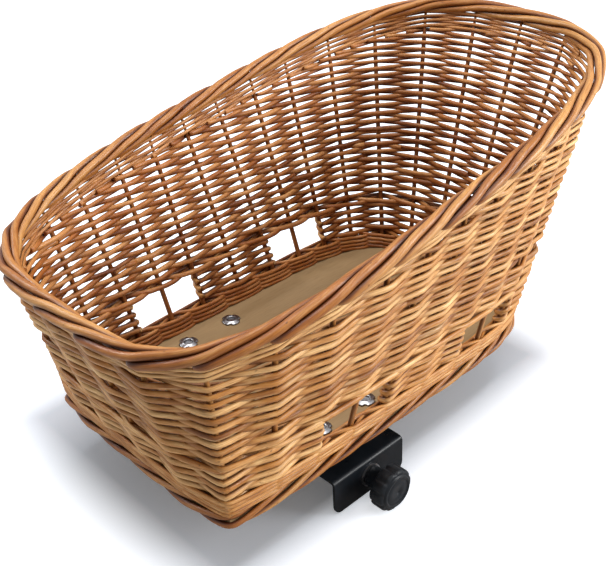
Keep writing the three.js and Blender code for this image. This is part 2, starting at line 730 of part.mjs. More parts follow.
// Jaw: a plate with a threaded boss, kept from turning by the underside of the leg
function makeJaw() {
  const top = LEG_UNDERSIDE_Z - GAP;
  const bottom = FLANGE_FOOT_Z + JAW_FLOOR_GAP;
  const plate = new THREE.BoxGeometry(JAW_WIDTH, JAW_PLATE, top - bottom);
  plate.translate(BRACKET_CENTRE_X, JAW_FACE_Y - JAW_PLATE / 2, (top + bottom) / 2);
  const back = JAW_FACE_Y - JAW_PLATE;
  const bossEnd = back - JAW_BOSS_LENGTH;
  const x = BRACKET_CENTRE_X;
  const boss = rodY(JAW_BOSS_DIAMETER, x, SCREW_Z, bossEnd, back + JAW_PLATE / 2);
  const boreWidth = SCREW_DIAMETER + HOLE_CLEARANCE;
  const from = bossEnd - CUTTER_OVERRUN;
  const bore = rodY(boreWidth, x, SCREW_Z, from, JAW_FACE_Y + CUTTER_OVERRUN);
  const jaw = toSolid(plate).add(toSolid(boss));
  return toGeometry(jaw.subtract(toSolid(bore)));
}

// A ring on the screw: the washer under the knob, or the clip inside the flange
function makeScrewRing(diameter, thickness, start, clearance) {
  const bore = SCREW_DIAMETER + clearance;
  return ringY(diameter, bore, BRACKET_CENTRE_X, SCREW_Z, start, start + thickness);
}

function addClamps() {
  const clipY = FLANGE_INNER_Y - GAP - RETAINER_THICKNESS;
  const washer = makeScrewRing(WASHER_DIAMETER, WASHER_THICKNESS, WASHER_Y, HOLE_CLEARANCE);
  const pieces = {
    clamp_bracket: [makeBracket(), BLACK_STEEL],
    clamp_washer: [washer, ZINC],
    clamp_knob: [makeKnob(), BLACK_PLASTIC],
    clamp_screw: [makeScrew(), ZINC],
    screw_retainer: [makeScrewRing(RETAINER_DIAMETER, RETAINER_THICKNESS, clipY, 2 * GAP), ZINC],
    clamp_jaw: [makeJaw(), BLACK_STEEL],
  };
  for (const [name, [geometry, finish]] of Object.entries(pieces)) {
    addPiece(`${name}_left`, geometry, finish);
    const turned = geometry.clone();
    turned.translate(-BRACKET_CENTRE_X, 0, 0).rotateZ(Math.PI).translate(BRACKET_CENTRE_X, 0, 0);
    addPiece(`${name}_right`, turned, finish);
  }
}

addBasket();
addBoardAndFixings();
addClamps();

export default model;
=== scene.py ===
"""Wicker carrier basket: woven wall, rolled borders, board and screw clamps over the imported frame."""

import math

import bmesh
import bpy
import numpy as np
from bpy.props import FloatProperty, FloatVectorProperty, IntProperty, PointerProperty
from mathutils import Matrix, Vector


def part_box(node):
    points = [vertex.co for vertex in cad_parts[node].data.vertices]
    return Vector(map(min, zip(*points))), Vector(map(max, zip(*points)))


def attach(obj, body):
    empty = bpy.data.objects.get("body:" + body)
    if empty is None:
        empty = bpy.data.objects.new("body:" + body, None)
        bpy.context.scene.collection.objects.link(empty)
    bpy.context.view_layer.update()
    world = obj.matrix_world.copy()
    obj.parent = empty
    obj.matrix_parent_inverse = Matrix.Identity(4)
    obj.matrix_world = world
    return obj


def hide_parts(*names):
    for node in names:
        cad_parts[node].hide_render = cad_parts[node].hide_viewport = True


bl_info = {
    "name": "Wicker Carrier Basket",
    "version": (1, 0, 0),
    "blender": (4, 5, 0),
    "location": "View3D > Sidebar > Basket",
    "description": "Builds a woven carrier basket rod by rod, with its board and clamps",
    "category": "Object",
}

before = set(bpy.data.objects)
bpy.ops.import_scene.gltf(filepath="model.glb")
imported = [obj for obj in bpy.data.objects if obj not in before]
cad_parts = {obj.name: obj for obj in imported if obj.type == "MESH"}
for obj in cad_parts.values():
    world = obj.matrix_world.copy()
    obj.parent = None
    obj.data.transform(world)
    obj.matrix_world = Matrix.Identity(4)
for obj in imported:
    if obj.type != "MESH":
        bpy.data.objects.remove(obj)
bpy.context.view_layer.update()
MM = 0.001

# The wall's own surface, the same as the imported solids', in millimetres
RIM = {"half_length": 297.5, "half_width": 175.5, "low_square": 3.8, "high_square": 3.1, "centre_x": 0.0}
FOOT = {
    "half_length": 218.0, "half_width": 126.0, "low_square": 24.0, "high_square": 4.8,
    "centre_x": -28.5,
}
CURVE_STEPS = 40000
FOOT_PLANE_Z = 66.2
RIM_LOW_Z, RIM_HIGH_Z, RIM_SWELL, RIM_LATE_RISE = 248.2, 351.9, 6.0, 10.0

# Places of the stakes; those before the low corner stand at shares of the way to it
STAKES_AT_FOOT_X = (-148, -106, -63, -11, 40, 80, 117)
STAKES_AT_RIM_X = (-165, -109, -60, -17, 28, 79, 129)
STAKES_TO_LOW_CORNER = (0.2, 0.6, 1.0)
LOW_STAKES_ALONG_RIM = (29, 92, 147, 199)
STAKES_ACROSS_HIGH_END = 8
STAKE_TWIST, FULL_TWIST_STAKE = 21.0, 2

# Heights of the wall's bands, in millimetres
BOARD_UNDERSIDE_Z, BOARD_TOP_Z = 66.7, 75.7
WINDOW_SILL_Z, WINDOW_HEAD_Z, FIELD_Z, UPPER_FIELD_Z = 94.0, 129.0, 138.3, 205.0

# Drops below the rim: to the collar, and to the field but for the collar's own height
COLLAR_DROP, FIELD_DROP = 5.5, 5.0

# Each roll's middle, out from the wall, and how straight it runs from stake to stake; for the
# foot also its height and how much more its half height is than its radius
RIM_ROLL_OUT, RIM_ROLL_SHARPNESS = 0.6, 0.45
FOOT_ROLL_OUT, FOOT_ROLL_Z, FOOT_ROLL_TALLER, FOOT_ROLL_SHARPNESS = 3.2, 69.2, 1.6, 0.8

# Stakes that edge each woven stretch between the windows, counted round the basket
WINDOW_BANDS = {"low_end": (25, 34), "left": (6, 8), "high_end": (10, 19), "right": (21, 23)}

# Shares by height: the rows' spacing of the row pitch, and the rods' thickness of the weaver's
ROW_SPACING = (170.0, 250.0, 330.0), (1.0, 0.97, 0.77)
ROD_FULLNESS = (150.0, 240.0, 330.0), (1.15, 1.06, 0.79)
BAND_FULLNESS = (1.16, 1.06)

# In bays: the bounds between which a field rod's length is drawn, the overlap of two such rods,
# the length of a band rod, and the stretch over which a field rod's end tucks in
FIELD_ROD_BAYS, ROD_OVERLAP, BAND_ROD_BAYS, TUCK_BAYS = (13, 21), 0.6, 26, 0.5

# Shares of the weave's depth: how far in a rod's end tucks, the swing of the collar's rods, and
# the swing and outward shift of a wale's, which are held to the whole depth
TUCK_DEPTH, COLLAR_SWING, WALE_SWING, WALE_SHIFT = 0.55, 0.45, 1.55, 0.12

# The share of its turn in which a wale's rod climbs
WALE_CLIMB = 0.72

# Places in each bay at which the rim's height is read to find where the field's rows end
PROBES_PER_BAY = 40

# Unevenness of hand work, in millimetres or as a share of a rod's thickness
WALE_WOBBLE, ROW_WOBBLE, BAND_WOBBLE, SWING_WOBBLE = 0.25, 0.45, 0.3, 0.35
WALE_UNEVEN, ROD_UNEVEN = 0.07, 0.05

# The photograph's camera: angles in radians, lens and shift in pixels of the photograph's width
PHOTO_WIDTH = 606
CAMERA_AZIMUTH, CAMERA_ELEVATION, CAMERA_ROLL = 0.737, 0.527, -0.047
CAMERA_FOCAL, CAMERA_SHIFT_X, CAMERA_SHIFT_Y = 1015.968, -3.805, -26.321
CAMERA_TARGET = (-0.028, 0, 0.1862)

# Each lamp's place, the point it is turned to, its width, and whether it lights the floor
LAMPS = {
    "key": ((1.25, -1.6, 1.05), (0.0, 0.0, 0.15), 0.7, False),
    "side": ((1.25, -1.6, 1.05), (0.0, 0.0, 0.15), 0.9, True),
    "back": ((-0.7, 1.3, 1.5), (0.0, 0.0, 0.3), 0.6, False),
    "fill": ((0.0, -0.05, 2.2), (0.0, 0.0, 0.2), 1.4, True),
}

# Painted shadow round the basket, beside the lamps' own: the floor glows more with the distance from a
# block, up to a full glow
SHADOW_CENTRE, SHADOW_HALF_SIZE = (-0.02, 0.045, 0.0), (0.225, 0.155, 1.0)
SHADOW_FADE, FULL_GLOW = 0.055, 0.75
FLOOR_HALF_SIZE, FLOOR_Z = 6.0, -0.0005

WHITE = (1.0, 1.0, 1.0)


def metres(name, description, default):
    return FloatProperty(name=name, description=description, default=default, unit="LENGTH")


def amount(name, description, default, unit="NONE"):
    return FloatProperty(name=name, description=description, default=default, min=0.0, unit=unit)


def number(name, description, default, least):
    return IntProperty(name=name, description=description, default=default, min=least)


def rgb(name, description, default):
    return FloatVectorProperty(
        name=name, description=description, default=default, subtype="COLOR", size=3, min=0.0, max=1.0,
    )


class BasketWeaveSizes(bpy.types.PropertyGroup):
    """Sizes of the rods and of the weave."""

    stake_diameter: metres("Stake diameter", "Thickness of the upright stakes", 0.0056)
    weaver_height: metres("Weaver height", "Thickness of a weaving rod, measured up the wall", 0.0052)
    weaver_depth: metres("Weaver depth", "Thickness of a weaving rod, measured through the wall", 0.0043)
    weave_depth: metres("Weave depth", "How far a weaving rod swings either side of the stakes", 0.0048)
    row_pitch: metres("Row pitch", "Rise from one woven row to the next, low on the wall", 0.00445)
    collar_rows: number("Collar rows", "Thin rows under the rim that follow its slope", 7, 0)
    collar_pitch: metres("Collar pitch", "Rise from one collar row to the next", 0.0026)
    collar_rod_diameter: metres("Collar rod diameter", "Thickness of the thin rods under the rim", 0.0036)
    bend_sharpness: FloatProperty(
        name="Bend sharpness", description="How far the rods run straight from stake to stake",
        default=0.7, min=0.0, max=1.0, subtype="FACTOR",
    )
    steps_per_bay: number("Steps per bay", "Rod sections between two stakes", 12, 4)
    rod_sides: number("Rod sides", "Faces round each rod of the wall", 8, 5)


class BasketBorderSizes(bpy.types.PropertyGroup):
    """Sizes of the rolled borders and of the wales."""

    rim_rod_diameter: metres("Rim rod diameter", "Thickness of the rods rolled round the rim", 0.0078)
    rim_roll_radius: metres("Rim roll radius", "From the middle of the rim's roll to its rods", 0.0062)
    foot_rod_diameter: metres("Foot rod diameter", "Thickness of the rods rolled round the foot", 0.0062)
    foot_roll_radius: metres("Foot roll radius", "From the middle of the foot's roll to its rods", 0.0042)
    border_rod_sides: number("Border rod sides", "Faces round each rod of the borders", 10, 5)
    base_wale_diameter: metres("Base wale rod diameter", "Thickness of the rods under the windows", 0.0042)
    base_wale_rounds: number("Base wale rounds", "Rounds of three rods under the windows", 4, 1)
    window_wale_diameter: metres(
        "Window wale rod diameter", "Thickness of the rods over the windows", 0.0056,
    )


class BasketColours(bpy.types.PropertyGroup):
    """Colours of the rods, the board and the fittings."""

    willow: rgb("Willow", "Main colour of the woven rods", (0.54, 0.232, 0.052))
    willow_pale: rgb("Pale willow", "Colour of the palest rods", (0.94, 0.63, 0.29))
    willow_deep: rgb("Deep willow", "Colour of the darkest rods", (0.21, 0.068, 0.015))
    plywood: rgb("Plywood", "Colour of the board", (0.27, 0.176, 0.085))
    steel: rgb("Painted steel", "Colour of the brackets and jaws", (0.0035, 0.0045, 0.0060))
    knob: rgb("Knob plastic", "Colour of the clamp knobs", (0.0050, 0.0065, 0.0085))
    zinc: rgb("Zinc", "Colour of the nuts, bolts and screws", (0.34, 0.34, 0.35))


class BasketStageSettings(bpy.types.PropertyGroup):
    """Light, floor and camera."""

    key_power: amount("Key light", "Power of the large soft light on the right", 46.0, "POWER")
    side_power: amount(
        "Side light", "Power of the light beside the key that reaches the floor", 16.0, "POWER",
    )
    fill_power: amount("Fill light", "Power of the soft light overhead", 40.0, "POWER")
    back_power: amount("Back light", "Power of the light behind that picks out the far rim", 22.0, "POWER")
    sky_strength: amount("Sky strength", "Strength of the even light from all round", 0.36)
    floor_glow: amount(
        "Floor glow", "Brightness added to the floor's shadow where the camera sees it", 0.08,
    )
    camera_distance: metres("Camera distance", "From the camera to the middle of the basket", 1.0071)


# Wall surface


def lengths_along(points):
    """The length of a line of points up to each of them."""
    return np.concatenate([[0], np.cumsum(np.linalg.norm(np.diff(points, axis=0), axis=1))])


def unit(vectors):
    """The same directions, each of length one."""
    return vectors / np.linalg.norm(vectors, axis=-1, keepdims=True)


def between(place, known, rows):
    """Rows of numbers at places between the known ones."""
    return np.stack([np.interp(place, known, column) for column in rows.T], -1)


class PlanCurve:
    """A closed outline in plan, read by the share of its length from the middle of the low end."""

    def __init__(self, half_length, half_width, low_square, high_square, centre_x):
        angle = math.pi - 2 * math.pi * np.arange(CURVE_STEPS + 1) / CURVE_STEPS
        c, s = np.cos(angle), np.sin(angle)
        power = 2 / np.where(c < 0, low_square, high_square)
        x = centre_x + half_length * np.sign(c) * np.abs(c) ** power
        y = half_width * np.sign(s) * np.abs(s) ** power
        self.points = np.stack([x, y], -1)
        self.lengths = lengths_along(self.points)
        self.total = self.lengths[-1]
        self.corner_share = self.lengths[CURVE_STEPS // 8] / self.total

    def at(self, share):
        return between(np.mod(share, 1) * self.total, self.lengths, self.points)

    def share_at_x(self, x):
        half = CURVE_STEPS // 2 + 1
        return np.interp(x, self.points[:half, 0], self.lengths[:half]) / self.total


rim_curve = PlanCurve(**RIM)
foot_curve = PlanCurve(**FOOT)
foot_corner = foot_curve.corner_share
side_shares = [foot_curve.share_at_x(x) for x in STAKES_AT_FOOT_X]
low_shares = [*(part * foot_corner for part in STAKES_TO_LOW_CORNER), (foot_corner + side_shares[0]) / 2]
foot_shares = np.array([0, *low_shares, *side_shares, 0.5])
low_rim_shares = [along / rim_curve.total for along in LOW_STAKES_ALONG_RIM]
side_rim_shares = [rim_curve.share_at_x(x) for x in STAKES_AT_RIM_X]
rim_shares = np.array([0, *low_rim_shares, *side_rim_shares, 0.5])

# The share round the foot at which each stake stands, the first just past the low end
gap_across = (1 - 2 * side_shares[-1]) / (STAKES_ACROSS_HIGH_END + 1)
high_shares = [side_shares[-1] + gap_across * (k + 1) for k in range(STAKES_ACROSS_HIGH_END)]
stake_share = np.array([*foot_shares[1:-1], *high_shares, *(1 - foot_shares[-2:0:-1])])
STAKE_COUNT = len(stake_share)


def share_of(stake):
    """The foot share at a place counted in stakes, fractions being part of a bay."""
    turns = np.floor(stake / STAKE_COUNT)
    known = np.concatenate([stake_share, [stake_share[0] + 1]])
    return np.interp(stake - turns * STAKE_COUNT, np.arange(STAKE_COUNT + 1), known) + turns


def rim_share_above(share):
    """The rim's share above a foot share; the rim is turned a little, but not at the low end."""
    turn = np.mod(share, 1)
    half = np.minimum(turn, 1 - turn)
    above = np.interp(half, foot_shares, rim_shares)
    twist = np.interp(half, [foot_corner, side_shares[FULL_TWIST_STAKE]], [0, STAKE_TWIST])
    return np.where(turn <= 0.5, above, 1 - above) - twist / rim_curve.total


def rim_height(x):
    u = (x + RIM["half_length"]) / (2 * RIM["half_length"])
    bow = u * (1 - u)
    straight = RIM_LOW_Z + (RIM_HIGH_Z - RIM_LOW_Z) * u
    return straight + RIM_SWELL * bow - RIM_LATE_RISE * bow * (2 * u - 1)


def rim_above(share):
    """The rim's place in plan above a foot share, and its height there."""
    plan = rim_curve.at(rim_share_above(share))
    return plan, rim_height(plan[..., 0])


def smooth_wall(share, z):
    """The middle of the wall in plan, at a foot share and a height."""
    foot = foot_curve.at(share)
    rim, rim_z = rim_above(share)
    rise = (z - FOOT_PLANE_Z) / (rim_z - FOOT_PLANE_Z)
    return foot + (rim - foot) * np.asarray(rise)[..., None]


def wall_at(stake, z, sharpness):
    """The middle of the wall, drawn towards straight runs between the stakes."""
    smooth = smooth_wall(share_of(stake), z)
    before = np.floor(stake)
    a = smooth_wall(share_of(before), z)
    b = smooth_wall(share_of(before + 1), z)
    return smooth * (1 - sharpness) + (a + (b - a) * (stake - before)[..., None]) * sharpness


def bay_outward(bay, z):
    along = unit(smooth_wall(share_of(bay + 1), z) - smooth_wall(share_of(bay), z))
    return np.stack([-along[..., 1], along[..., 0]], -1)


def outward_at(stake, z):
    """Vectors out of the wall in plan, mitred where the wall turns at a stake."""
    bay = np.floor(stake)
    part = stake - bay
    outward = bay_outward(bay, z)
    beyond = bay_outward(np.where(part < 0.5, bay - 1, bay + 1), z)
    mitre = (outward + beyond) / (1 + np.sum(outward * beyond, -1, keepdims=True))
    turn = np.clip(1 - np.minimum(part, 1 - part) * 4, 0, 1)[..., None]
    return outward + (mitre - outward) * turn


def on_wall(stake, z, out, sharpness):
    """Points in millimetres, out from the middle of the wall, and the outward directions."""
    stake, z, out = np.broadcast_arrays(stake, z, out)
    normal = outward_at(stake, z)
    plan = wall_at(stake, z, sharpness) + normal * out[..., None]
    level = np.zeros_like(z)[..., None]
    return np.concatenate([plan, z[..., None]], -1), np.concatenate([unit(normal), level], -1)


# Rods


def resampled(points, count):
    """The same line through more, evenly spread points, with its corners eased."""
    for _ in range(2):
        ahead = points[:-1] * 0.25 + points[1:] * 0.75
        behind = points[:-1] * 0.75 + points[1:] * 0.25
        points = np.concatenate([points[:1], np.stack([behind, ahead], 1).reshape(-1, 3), points[-1:]])
    along = lengths_along(points)
    return between(np.linspace(0, along[-1], count), along, points)


def add_object(name, data):
    piece = bpy.data.objects.new(name, data)
    bpy.context.scene.collection.objects.link(piece)
    return piece


def shown_piece(name, mesh, material, body, slot_name, *nodes):
    """The object that shows a mesh, riding on a body in place of the CAD nodes named."""
    mesh.materials.append(material)
    piece = add_object(name, mesh)
    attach(piece, body)
    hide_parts(*nodes)
    return piece


class RodBundle:
    """Many rods gathered into one mesh, with a length coordinate and a tone for each."""

    def __init__(self, sides, seed):
        self.sides, self.rng, self.count = sides, np.random.default_rng(seed), 0
        self.points, self.quads, self.caps = [], [], []
        self.quad_uv, self.tones, self.sways = [], [], []

    def wander(self, length, spacing):
        """A slowly wandering line of numbers from -1 to 1."""
        knots = self.rng.uniform(-1, 1, max(4, int(length / spacing) + 4))
        place = np.linspace(0, len(knots) - 1.001, length)
        low = np.floor(place).astype(int)
        part = place - low
        part = part * part * (3 - 2 * part)
        return knots[low] * (1 - part) + knots[low + 1] * part

    def add(self, points, outward, deep, tall, tone, closed=False, sway=1.0):
        """One rod along points in millimetres; deep and tall are its half thicknesses.

        Its sway is 1 where it runs outside the stakes, 0 among them and -1 where it runs inside.
        """
        n, sides = len(points), self.sides
        deep, tall, sway = (np.broadcast_to(value, (n,)) for value in (deep, tall, sway))
        if closed:
            along = unit(np.roll(points, -1, 0) - np.roll(points, 1, 0))
        else:
            along = unit(np.gradient(points, axis=0))
        side = unit(outward - along * np.sum(outward * along, 1, keepdims=True))
        up = np.cross(along, side)
        turn = 2 * np.pi * np.arange(sides) / sides
        ring = (
            points[:, None]
            + side[:, None] * np.outer(deep, np.cos(turn))[..., None]
            + up[:, None] * np.outer(tall, np.sin(turn))[..., None]
        )
        self.points.append(ring.reshape(-1, 3) * MM)
        self.tones.append(np.full(n * sides, tone))
        self.sways.append(np.repeat(sway, sides))
        joins = n if closed else n - 1
        i = np.arange(joins)[:, None] * sides
        j = ((np.arange(joins) + 1) % n)[:, None] * sides
        k = np.arange(sides)[None, :]
        m = (k + 1) % sides
        self.quads.append(np.stack([i + k, i + m, j + m, j + k], -1).reshape(-1, 4) + self.count)
        u = lengths_along(np.concatenate([points, points[:1]]))[: joins + 1, None] * MM + tone * 7
        v0, v1 = k / sides, (k + 1) / sides
        corners = ((u[:-1], v0), (u[:-1], v1), (u[1:], v1), (u[1:], v0))
        uv = np.stack([np.stack(np.broadcast_arrays(*corner), -1) for corner in corners], 2)
        self.quad_uv.append(uv.reshape(-1, 2))
        if not closed:
            self.caps.append(np.arange(sides)[::-1] + self.count)
            self.caps.append(np.arange(sides) + (n - 1) * sides + self.count)
        self.count += n * sides

    def make(self, name, finish, *nodes):
        """The piece of all the rods, on the basket's body in place of the CAD nodes named."""
        quads = np.concatenate(self.quads)
        caps = np.array(self.caps, int).reshape(-1, self.sides)
        loops = np.concatenate([quads.ravel(), caps.ravel()])
        cap_starts = quads.size + np.arange(len(caps)) * self.sides
        starts = np.concatenate([np.arange(len(quads)) * 4, cap_starts])
        mesh = bpy.data.meshes.new(name)
        for items, key, values, kind in (
            (mesh.vertices, "co", np.concatenate(self.points), np.float32),
            (mesh.loops, "vertex_index", loops, np.int32),
            (mesh.polygons, "loop_start", starts, np.int32),
        ):
            items.add(len(values))
            items.foreach_set(key, values.astype(kind).ravel())
        mesh.polygons.foreach_set("use_smooth", np.arange(len(starts)) < len(quads))
        mesh.update(calc_edges=True)
        cap_uv = np.full((caps.size, 2), 0.5)
        uv = np.concatenate([*self.quad_uv, cap_uv]).astype(np.float32)
        mesh.uv_layers.new(name="along_rod").data.foreach_set("uv", uv.ravel())
        for key, values in (("rod_tone", self.tones), ("rod_sway", self.sways)):
            attribute = mesh.attributes.new(key, "FLOAT", "POINT")
            attribute.data.foreach_set("value", np.concatenate(values).astype(np.float32))
        mesh.validate()
        material = material_of(finish, willow, *WILLOWS[finish])
        shown_piece(name, mesh, material, "basket", "willow", *nodes)


# Materials


def add_node(tree, kind, inputs, **settings):
    """A new node; an input that is a socket, or a node with one output, is linked."""
    node = tree.nodes.new(kind)
    for name, value in settings.items():
        setattr(node, name, value)
    for key, value in inputs.items():
        socket = node.inputs[key]
        if isinstance(value, bpy.types.Node):
            tree.links.new(value.outputs[0], socket)
        elif isinstance(value, bpy.types.NodeSocket):
            tree.links.new(value, socket)
        elif socket.type == "RGBA":
            socket.default_value = (*value, 1)
        else:
            socket.default_value = value
    return node


def empty_tree(owner):
    """The node tree of a material or a world, with nothing in it."""
    owner.use_nodes = True
    owner.node_tree.nodes.clear()
    return owner.node_tree


def material_of(name, shader_inputs, *details):
    """A material, made at its first use from a function that gives its shader's inputs."""
    material = bpy.data.materials.get(name)
    if material is None:
        material = bpy.data.materials.new(name)
        tree = empty_tree(material)
        inputs = shader_inputs(tree, bpy.context.scene.basket_colours, *details)
        shader = add_node(tree, "ShaderNodeBsdfPrincipled", inputs)
        add_node(tree, "ShaderNodeOutputMaterial", {"Surface": shader})
    return material


def noise(tree, vector, scale, detail, roughness):
    """A noise pattern; a scale of three numbers stretches it."""
    if isinstance(scale, tuple):
        vector = add_node(tree, "ShaderNodeMapping", {"Vector": vector, "Scale": scale})
        scale = 1.0
    inputs = {"Vector": vector, "Scale": scale, "Detail": detail, "Roughness": roughness}
    return add_node(tree, "ShaderNodeTexNoise", inputs).outputs["Fac"]


def ramp(tree, factor, *stops):
    """Colours or greys by the factor, each stop a place and its colour or grey."""
    node = add_node(tree, "ShaderNodeValToRGB", {"Fac": factor})
    elements = node.color_ramp.elements
    elements.remove(elements[1])
    elements[0].position = stops[0][0]
    for number, (place, colour) in enumerate(stops):
        element = elements.new(place) if number else elements[0]
        element.color = (*colour, 1) if isinstance(colour, tuple) else (colour, colour, colour, 1)
    return node.outputs["Color"]


def mixed(tree, factor, a, b, blend="MIX"):
    inputs = {0: factor, 6: a, 7: b}
    return add_node(tree, "ShaderNodeMix", inputs, data_type="RGBA", blend_type=blend).outputs[2]


def maths(tree, operation, *values):
    return add_node(tree, "ShaderNodeMath", dict(enumerate(values)), operation=operation)


def bump(tree, height, strength, distance):
    return add_node(tree, "ShaderNodeBump", {"Height": height, "Strength": strength, "Distance": distance})


def object_place(tree):
    return add_node(tree, "ShaderNodeTexCoord", {}).outputs["Object"]


def blended(a, b, share):
    return tuple((1 - share) * x + share * y for x, y in zip(a, b))


def times(colour, factor):
    """A colour multiplied by one factor, or by one for each of its parts."""
    return tuple(np.multiply(colour, factor))


# Painted shade round a rod, by the share of a turn from its front over its top: in the wall it is
# darkest underneath and duller on the basket's inside, in a roll dark where it meets the next
WALL_PAINTED_SHADE = (
    (0.0, WHITE), (0.16, WHITE), (0.25, (0.80, 0.70, 0.60)),
    (0.34, (0.66, 0.49, 0.38)), (0.62, (0.60, 0.43, 0.32)), (0.72, (0.22, 0.15, 0.10)),
    (0.80, (0.36, 0.27, 0.19)), (0.90, (0.90, 0.84, 0.78)), (1.0, WHITE),
)
ROLL_PAINTED_SHADE = (
    (0.0, WHITE), (0.10, WHITE), (0.18, (0.82, 0.73, 0.65)), (0.25, (0.42, 0.30, 0.21)),
    (0.75, (0.42, 0.30, 0.21)), (0.82, (0.82, 0.73, 0.65)), (0.90, WHITE), (1.0, WHITE),
)

# Painted shade by how open a rod's side is, from facing the stakes to facing away from them
GAP_PAINTED_SHADE = ((0.0, (0.34, 0.25, 0.18)), (0.30, (0.50, 0.40, 0.32)), (0.62, WHITE))

# Each willow's own tint, its painted shade round a rod and its patchiness
WILLOWS = {
    "stake_willow": ((0.86, 0.80, 0.74), WALL_PAINTED_SHADE, 0.42),
    "woven_willow": (WHITE, WALL_PAINTED_SHADE, 0.42),
    "border_willow": ((0.66, 0.56, 0.43), ROLL_PAINTED_SHADE, 0.24),
}


def willow(tree, colours, tint, shade_round, patchiness):
    """Varnished willow: rods of different tones, streaked along their length, with painted shade under
    each rod and in the gaps.
    """
    main, pale, deep = tuple(colours.willow), tuple(colours.willow_pale), tuple(colours.willow_deep)
    uv = add_node(tree, "ShaderNodeUVMap", {}, uv_map="along_rod").outputs[0]
    around = add_node(tree, "ShaderNodeSeparateXYZ", {0: uv}).outputs["Y"]
    tone, sway = (
        add_node(tree, "ShaderNodeAttribute", {}, attribute_name=name).outputs["Fac"]
        for name in ("rod_tone", "rod_sway")
    )
    rods = ramp(
        tree, tone, (0.0, deep), (0.14, blended(deep, main, 0.6)), (0.45, main),
        (0.78, blended(main, pale, 0.6)), (1.0, pale),
    )
    patches = noise(tree, uv, (26.0, 1.5, 1.0), 3.0, 0.6)
    streaks = noise(tree, uv, (55.0, 22.0, 1.0), 3.0, 0.65)
    knots = noise(tree, uv, (150.0, 5.0, 1.0), 1.0, 0.5)
    grain = noise(tree, uv, (90.0, 40.0, 1.0), 3.0, 0.6)
    facing = maths(tree, "COSINE", maths(tree, "MULTIPLY", around, 2 * math.pi))
    openness = maths(tree, "MULTIPLY_ADD", maths(tree, "MULTIPLY", facing, sway), 0.5, 0.5)
    colour = mixed(tree, patchiness, rods, ramp(tree, patches, (0.33, deep), (0.48, main), (0.62, pale)))
    for share, shade in (
        (0.80, ramp(tree, streaks, (0.30, (0.52, 0.39, 0.28)), (0.60, WHITE))),
        (1.0, tint),
        # painted shade round the rod: darkest underneath, duller on the inside, dark in a roll's grooves
        (1.0, ramp(tree, around, *shade_round)),
        # painted shade in the gaps, where a rod's side faces into the weave
        (1.0, ramp(tree, openness, *GAP_PAINTED_SHADE)),
    ):
        colour = mixed(tree, share, colour, shade, "MULTIPLY")
    knot = ramp(tree, knots, (0.70, 0.0), (0.80, 0.8))
    return {
        "Base Color": mixed(tree, knot, colour, times(deep, 0.45)),
        "Roughness": ramp(tree, streaks, (0.3, 0.50), (0.7, 0.27)),
        "Specular IOR Level": 0.34,
        "Normal": bump(tree, grain, 0.5, 0.0004),
    }


def plywood(tree, colours):
    """Bare birch plywood: long soft figure, fine pores, and a slightly worn face."""
    place, base = object_place(tree), tuple(colours.plywood)
    figure = noise(tree, place, (3.0, 26.0, 26.0), 4.0, 0.55)
    pores = noise(tree, place, (60.0, 900.0, 900.0), 2.0, 0.5)
    dark, pale = times(base, (0.80, 0.76, 0.68)), times(base, 1.14)
    wood = ramp(tree, figure, (0.30, dark), (0.5, base), (0.72, pale))
    fine = ramp(tree, pores, (0.34, (0.82, 0.78, 0.72)), (0.52, WHITE))
    return {
        "Base Color": mixed(tree, 0.55, wood, fine, "MULTIPLY"),
        "Roughness": 0.58,
        "Specular IOR Level": 0.35,
        "Normal": bump(tree, pores, 0.12, 0.0003),
    }


def black_finish(tree, base, clouds, pale, roughness, shine, grain):
    """A black surface with faint clouds and a fine grain."""
    place = object_place(tree)
    cloud = noise(tree, place, clouds, 3.0, 0.6)
    grain_scale, grain_strength = grain
    return {
        "Base Color": ramp(tree, cloud, (0.35, base), pale),
        "Roughness": ramp(tree, cloud, *roughness),
        "Specular IOR Level": shine,
        "Normal": bump(tree, noise(tree, place, grain_scale, 2.0, 0.5), grain_strength, 0.0002),
    }


def painted_steel(tree, colours):
    """Black powder coat with a fine orange-peel surface."""
    base, roughness = tuple(colours.steel), ((0.3, 0.26), (0.7, 0.42))
    return black_finish(tree, base, 45.0, (0.75, times(base, 1.9)), roughness, 0.15, (900.0, 0.10))


def knob_plastic(tree, colours):
    """Moulded black plastic with a fine satin grain."""
    base, roughness = tuple(colours.knob), ((0.3, 0.34), (0.7, 0.46))
    return black_finish(tree, base, 70.0, (0.8, times(base, 1.8)), roughness, 0.18, (1600.0, 0.16))


def zinc_plate(tree, colours):
    """Bright zinc plate with faint clouding."""
    base = tuple(colours.zinc)
    cloud = noise(tree, object_place(tree), 160.0, 4.0, 0.6)
    return {
        "Base Color": ramp(tree, cloud, (0.3, times(base, (0.62, 0.62, 0.66))), (0.6, base)),
        "Roughness": ramp(tree, cloud, (0.3, 0.42), (0.7, 0.24)),
        "Metallic": 1.0,
        "Normal": bump(tree, cloud, 0.08, 0.0002),
    }


# Basket pieces


